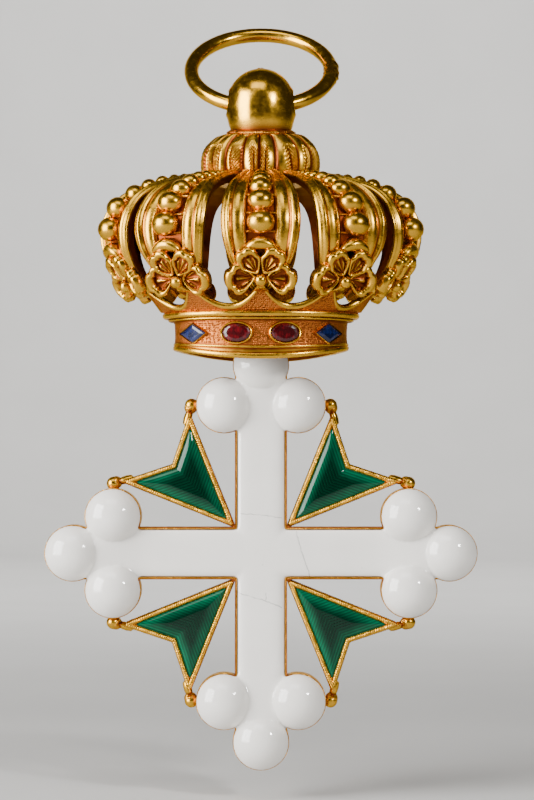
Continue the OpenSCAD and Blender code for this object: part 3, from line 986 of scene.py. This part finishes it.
class BADGE_OT_cross_frame(bpy.types.Operator):
    """Round off the cross's gold frame and lay corded borders, necks and balls on the green arms"""

    bl_idname = "badge.cross_frame"
    bl_label = "Cross frame"

    def execute(self, context):
        twist = context.scene.badge_cross.twist / MM
        take(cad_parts["cross_frame"])
        bpy.ops.object.duplicate()
        body = named("cross_gold")
        body.hide_render = False
        edit(body, weld)
        modified(body, "BEVEL", width=0.07 * MM, segments=2, limit_method="ANGLE", angle_limit=radians(35))
        smooth(body, 30)
        set_mark(body, "ground", np.full(len(body.data.vertices), 0.4))
        parts = [body]
        for quarter in range(4):
            corners = closed(turned(dart_outline(0.4), quarter))
            for _, face in SIDES:
                parts += [self.cord(start, end, face, twist) for start, end in zip(corners, corners[1:])]
            tips = zip(turned(DART[1::2], quarter), turned(TIP_BALLS, quarter))
            parts += [self.neck(tip, ball) for tip, ball in tips]
        cross = joined("cross_gold", parts)
        mark_recesses(cross, 6, 0.05 * MM)
        gild(cross, "cross", "gold_frame", "cross_frame")
        return {"FINISHED"}

    def cord(self, start, end, face, twist):
        """One side of a border: a half round cut across at a slant, like twisted cord, flat below."""
        length = np.linalg.norm(end - start)
        s = np.linspace(-0.12, length + 0.12, int(length / 0.085))[:, None]
        way = (end - start) / length
        turn = np.linspace(0, TAU, 11)[None]
        cut = np.abs(np.sin(pi * (s / twist + 0.55 * np.minimum(turn, TAU - turn) / pi)))
        r = 0.31 + 0.11 * cut**0.7
        plan = start + s[..., None] * way + (1.05 * r * np.cos(turn))[..., None] * turned(way)
        height = 1.02 + r * np.maximum(np.sin(turn), -0.3) * 1.15
        # The grooves between the twists take more of the matted ground, with its dark pits, than the crests: darker
        # in the grooves
        return net("cord", cross_points(plan, face * height), 0.35 - 0.3 * cut, cap)

    def neck(self, tip, ball):
        """A waisted stalk and its ball at the tip of a green arm."""
        reach = np.linalg.norm(ball - tip)
        way = (ball - tip) / reach
        sweep = np.linspace(0, pi, 22)[3:]
        # Distance from the tip towards the ball, and radius there
        stalk = ((-2.2, 0.05), (-1.9, 0.5), (-1.2, 0.62), (-0.5, 0.6), (0.05, 0.5), (0.22, 0.62), (0.34, 0.5))
        ball_part = np.stack([reach - TIP_BALL_R * np.cos(sweep), TIP_BALL_R * np.sin(sweep)], 1)
        place, r = np.concatenate([stalk, ball_part]).T[..., None]
        turn = np.linspace(0, TAU, 29)[None]
        plan = tip + place[..., None] * way + (r * np.cos(turn))[..., None] * turned(way)
        # The stalk is deeper than it is wide
        forward = r * np.sin(turn) * np.where(place < 0.4, 1.6, 1)
        return net("neck", cross_points(plan, forward), 0 * forward, cap)


class BADGE_OT_white_enamel(bpy.types.Operator):
    """Flood the white enamel over the arms and lobes of both faces"""

    bl_idname = "badge.white_enamel"
    bl_label = "White enamel"

    def execute(self, context):
        finish = white_finish("white enamel", context.scene.badge_cross.white)
        for side, face in SIDES:
            enamel = self.flood(f"enamel_white_{side}", face)
            finish_piece(enamel, "cross", "white_enamel", finish, f"white_enamel_{side}")
        return {"FINISHED"}

    def flood(self, name, face):
        spots = [turned(at, quarter) for quarter in range(4) for at in LOBES]
        parts = [self.arm(quarter, face) for quarter in (0, 1)] + [self.lobe(at, face) for at in spots]
        enamel = joined(name, parts)
        modified(enamel, "REMESH", mode="VOXEL", voxel_size=0.22 * MM)
        modified(enamel, "SMOOTH", factor=0.5, iterations=14)
        p = measured(enamel, CROSS)
        # The lobes are true balls away from where the arms meet them
        for across, up in spots:
            out = p - (across, 0, up)
            far = np.linalg.norm(out / (DOME_SPREAD, 1, DOME_SPREAD), axis=1)
            true = (np.abs(far - DOME_R) < 0.14) & (face * -out[:, 1] > FACE + 0.2)
            p[true] += (out * (DOME_R / far - 1)[:, None])[true]
        reshape(enamel, placed(p, CROSS))
        edit(enamel, face_out)
        smooth(enamel, 60)
        return enamel

    def arm(self, quarter, face):
        """A bar across the whole cross, with a flat top and round shoulders, rising between the lobes."""
        u = np.linspace(-1, 1, 25)
        crown = FACE + 0.34 - 0.44 * np.abs(u) ** 5
        across = (ARM_HALF - 0.36) * np.append(u, [1, -1, -1])
        height = np.append(crown, [ENAMEL_LOW, ENAMEL_LOW, crown[0]])
        rise = 0.8 * np.append(1 - np.abs(u) ** 3, [0, 0, 0])
        end = LOBES[0][0]
        s = np.linspace(-end, end, 81)[:, None]
        plan = turned(stacked(s, across), quarter)
        forward = face * (height + rise * step_between(np.abs(s), 16.5, 25))
        return net("arm", cross_points(plan, forward), None, cap)

    def lobe(self, at, face):
        """A ball cut off behind, a little flattened, and held to the frame's pocket."""
        ball, p = new_ball("lobe", 72, 48, DOME_R)
        out = np.hypot(p[:, 0], p[:, 2]) * DOME_SPREAD
        # Above the frame the ball reaches over its rim, and below it stays in the pocket
        limit = np.where(p[:, 1] > FACE + 0.04, 4.3, 3.98)
        p[:, [0, 2]] *= DOME_SPREAD * (np.minimum(out, limit) / np.maximum(out, 1e-6))[:, None]
        reshape(ball, cross_points(at + p[:, [0, 2]], face * np.maximum(p[:, 1], ENAMEL_LOW)))
        return ball


def white_finish(name, colour):
    """White enamel: a clear gloss over off-white glass, with hair cracks and pits in grey."""
    f = Finish(name, Roughness=0.1, Coat_Weight=0.6, Coat_Roughness=0.03, Specular_IOR_Level=0.35)
    place = f.node("Mapping", {"Vector": f.place, "Location": tuple(-CROSS / MM), "Scale": (1 / MM,) * 3}).outputs[0]
    wobble = f.node("TexNoise", {"Vector": place, "Scale": 1.6, "Detail": 3}).outputs["Color"]
    shift = f.vector("SCALE", f.vector("SUBTRACT", wobble, (0.5, 0.5, 0.5)), 0.4)
    place = f.vector("MULTIPLY", f.vector("ADD", place, shift), (1, 0, 1))
    marks = 0.0
    for line, width in CRACKS:
        for (x, z), (end_x, end_z) in zip(line, line[1:]):
            # Distance from the stretch of crack between two points
            run = np.array([end_x - x, 0, end_z - z])
            base = f.vector("SUBTRACT", place, (x, 0, z))
            share = f.vector("DOT_PRODUCT", base, tuple(run / (run @ run)), "Value")
            foot = f.vector("SCALE", tuple(run), f.node("Clamp", {"Value": share}).outputs[0])
            away = f.vector("DISTANCE", base, foot, "Value")
            marks = f.sum("MAXIMUM", marks, f.step(away, 0.02, width, 1, 0))
    front = f.step(f.node("SeparateXYZ", {0: f.place}).outputs["Y"], CROSS[1] - MM, CROSS[1] + MM, 1, 0)
    fade = f.times(f.times(marks, front), f.step(f.noise(1.2), 0.3, 0.6, 0.25, 0.75))
    cloud = f.step(f.noise(6), 0.3, 0.7)
    pits = f.times(f.step(f.cells(1.7), 0.03, 0.06, 1, 0), f.step(f.noise(4), 0.58, 0.66))
    body = f.tint(cloud, colour, darker(colour, 0.96))
    f.put("Base Color", f.tint(f.sum("MAXIMUM", fade, f.times(pits, 0.5)), body, (0.33, 0.32, 0.3)))
    f.put("Normal", f.relief(f.sum("ADD", marks, pits), -0.02, f.relief(f.noise(2.2), 0.02)))
    return f.material


class BADGE_OT_green_enamel(bpy.types.Operator):
    """Fill the green arms with clear enamel over engine-turned lines"""

    bl_idname = "badge.green_enamel"
    bl_label = "Green enamel"

    def execute(self, context):
        finish = green_finish("green enamel", context.scene.badge_cross.green)
        for side, face in SIDES:
            for quarter in range(4):
                panel = self.panel(f"enamel_green_{side}_{quarter + 1}", quarter, face)
                finish_piece(panel, "cross", "green_enamel", finish, f"green_enamel_{side}_{quarter + 1}")
        return {"FINISHED"}

    def panel(self, name, quarter, face):
        """A forked pillow of enamel, rising from its edges, over its flat back."""
        inner, low_tip, notch, high_tip = dart_outline(0.62)
        u = np.linspace(0, 1, 49)[:, None, None]
        v = np.linspace(-1, 1, 97)
        tips = np.where(v[:, None] < 0, low_tip, high_tip)
        plan = (inner + u * (notch - inner)) * (1 - np.abs(v))[:, None] + tips * np.abs(v)[:, None]
        rises = [
            1 - (1 - np.clip(line_distance(plan, corner, tips) / width, 0, 1)) ** 2
            for corner, width in ((inner, 1.9), (notch, 2.1))
        ]
        # The lower of the two rises, with a soft ridge where they meet
        blend = -np.log(np.exp(-6 * rises[0]) + np.exp(-6 * rises[1])) / 6
        top = 1.0 + 0.8 * np.clip(blend, -0.03, 1)
        plan = turned(plan, quarter)
        front, back = cross_points(plan, face * top), cross_points(plan, face * 0.5)
        # One skin over the top, round both long edges and under the back
        obj = net(name, closed(np.concatenate([front, back[::-1]])))
        p = measured(obj, CROSS)
        plan = turned(p[:, [0, 2]], 4 - quarter)
        tips = np.where(plan[:, 1:] < plan[:, :1], low_tip, high_tip)
        edge = line_distance(plan, notch, tips)
        set_mark(obj, "ground", edge)
        set_mark(obj, "rim", np.minimum(edge, line_distance(plan, inner, tips)))
        return obj


def line_distance(plan, corner, tips):
    """Distance from each point of a plan to the line from a corner to the point's own tip."""
    way = unit(tips - corner)
    out = plan - corner
    return np.abs(out[..., 0] * way[..., 1] - out[..., 1] * way[..., 0])


def green_finish(name, colour):
    """Clear green enamel: nearly black where it is deep, with fine lines cut in the gold under it."""
    f = Finish(name, Roughness=0.5, Coat_Weight=0.5, Coat_Roughness=0.015, Specular_IOR_Level=0)
    line = f.sum("SINE", f.times(f.mark("ground"), TAU / LINE_PITCH))
    cloud = f.step(f.noise(3), 0.3, 0.7, 0.75, 1.2)
    light = f.times(f.step(f.mark("rim"), 0, 2, 1, 0.1), cloud, True)
    shade = f.times(light, f.step(line, -1, 1, 0.5, 1.2), True)
    f.put("Base Color", f.tint(shade, darker(colour, 0.07), colour))
    f.put("Normal", f.relief(line, 0.015))
    return f.material


class BADGE_OT_hinge(bpy.types.Operator):
    """Finish the hinge bar, which keeps its solid's shape"""

    bl_idname = "badge.hinge"
    bl_label = "Hinge bar"

    def execute(self, context):
        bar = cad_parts["hinge_bar"]
        bar.data.materials.clear()
        bar.data.materials.append(gold("gold_plain"))
        return {"FINISHED"}


class BADGE_OT_stage(bpy.types.Operator):
    """Set out the floor and backdrop, the lights and the camera"""

    bl_idname = "badge.stage"
    bl_label = "Stage"

    def execute(self, context):
        stage = context.scene.badge_stage
        aim = ORB + np.array([0.9, 0, -44.7]) * MM
        self.backdrop(stage.backdrop)
        self.lights(stage, aim)
        camera = bpy.data.cameras.new("camera")
        camera.lens = stage.lens
        camera.sensor_fit = "VERTICAL"
        camera.sensor_height = 36
        camera.clip_start = 0.01
        stand = bpy.data.objects.new("camera", camera)
        context.scene.collection.objects.link(stand)
        tilt = radians(-1)
        stand.location = aim + stage.distance * np.array([0, -cos(tilt), sin(tilt)])
        stand.rotation_euler = (pi / 2 - tilt, 0, 0)
        context.scene.camera = stand
        return {"FINISHED"}

    def backdrop(self, colour):
        # Depth and height along the sweep, from in front of the floor up behind the badge
        turn = np.linspace(0, pi / 2, 25)
        floor, near, far, bend, high = -104.5, 1200, 700, 250, 1100
        curve = np.stack([far + bend * np.sin(turn), floor + bend * (1 - np.cos(turn))], 1)
        sweep = np.concatenate([[(-near, floor), (0, floor)], curve, [(far + bend, high)]])
        points = stacked(np.linspace(-near, near, 7), sweep[:, :1], sweep[:, 1:])
        sheet = net("backdrop", placed(points))
        f = Finish("backdrop", Roughness=0.8, Specular_IOR_Level=0.2)
        f.put("Base Color", f.tint(f.step(f.noise(40), 0.3, 0.7), colour, darker(colour, 0.97)))
        sheet.data.materials.append(f.material)

    def lights(self, stage, aim):
        world = bpy.data.worlds.new("room")
        world.use_nodes = True
        sky = world.node_tree.nodes["Background"].inputs
        sky["Color"].default_value = (0.7, 0.68, 0.66, 1)
        sky["Strength"].default_value = 0.06
        bpy.context.scene.world = world
        # Name, angle to the right of the camera, height angle, distance, width, height and power
        for name, right, up, away, width, height, power in (
            ("left_softbox", -60, 12, 0.45, 0.28, 0.38, stage.main_power),
            ("top_softbox", -14, 56, 0.45, 0.3, 0.16, stage.top_power),
            ("right_light", 42, 23, 0.5, 0.06, 0.06, stage.small_power),
        ):
            side, lift = radians(right), radians(up)
            way = np.array([sin(side) * cos(lift), -cos(side) * cos(lift), sin(lift)])
            self.lamp(name, aim + away * way, (pi / 2 - lift, 0, side), width, height, power)
        # A light above and behind the badge shines away from it, on the backdrop
        self.lamp("backdrop_light", aim + (0, 0.3, 0.42), (radians(68), 0, 0), 0.8, 0.1, stage.backdrop_power)

    def lamp(self, name, place, turn, width, height, power):
        data = bpy.data.lights.new(name, "AREA")
        data.shape = "RECTANGLE"
        data.size, data.size_y, data.energy = width, height, power
        lamp = bpy.data.objects.new(name, data)
        bpy.context.scene.collection.objects.link(lamp)
        lamp.location = place
        lamp.rotation_euler = turn


SETTINGS = (
    ("badge_gold", BadgeGold, "Gold"), ("badge_crown", BadgeCrown, "Crown"),
    ("badge_cross", BadgeCross, "Cross and stones"), ("badge_stage", BadgeStage, "Stage"),
)
STEPS = (
    BADGE_OT_ring, BADGE_OT_orb, BADGE_OT_collar, BADGE_OT_arches, BADGE_OT_circlet, BADGE_OT_stones,
    BADGE_OT_hinge, BADGE_OT_cross_frame, BADGE_OT_white_enamel, BADGE_OT_green_enamel, BADGE_OT_stage,
)


class BADGE_PT_panel(bpy.types.Panel):
    """Lists the badge's settings and steps in the 3D view's sidebar"""

    bl_idname = "BADGE_PT_panel"
    bl_label = "Grand cross badge"
    bl_space_type = "VIEW_3D"
    bl_region_type = "UI"
    bl_category = "Badge"

    def draw(self, context):
        for label, group, title in SETTINGS:
            box = self.layout.box()
            box.label(text=title)
            for key in group.__annotations__:
                box.prop(getattr(context.scene, label), key)
        for step in STEPS:
            self.layout.operator(step.bl_idname)


def register():
    for label, group, _ in SETTINGS:
        bpy.utils.register_class(group)
        setattr(bpy.types.Scene, label, PointerProperty(type=group))
    for kind in (*STEPS, BADGE_PT_panel):
        bpy.utils.register_class(kind)


def unregister():
    for kind in (BADGE_PT_panel, *reversed(STEPS)):
        bpy.utils.unregister_class(kind)
    for label, group, _ in reversed(SETTINGS):
        delattr(bpy.types.Scene, label)
        bpy.utils.unregister_class(group)


def main():
    register()
    for step in STEPS:
        getattr(bpy.ops.badge, step.bl_idname.split(".")[1])()


if __name__ == "__main__":
    main()
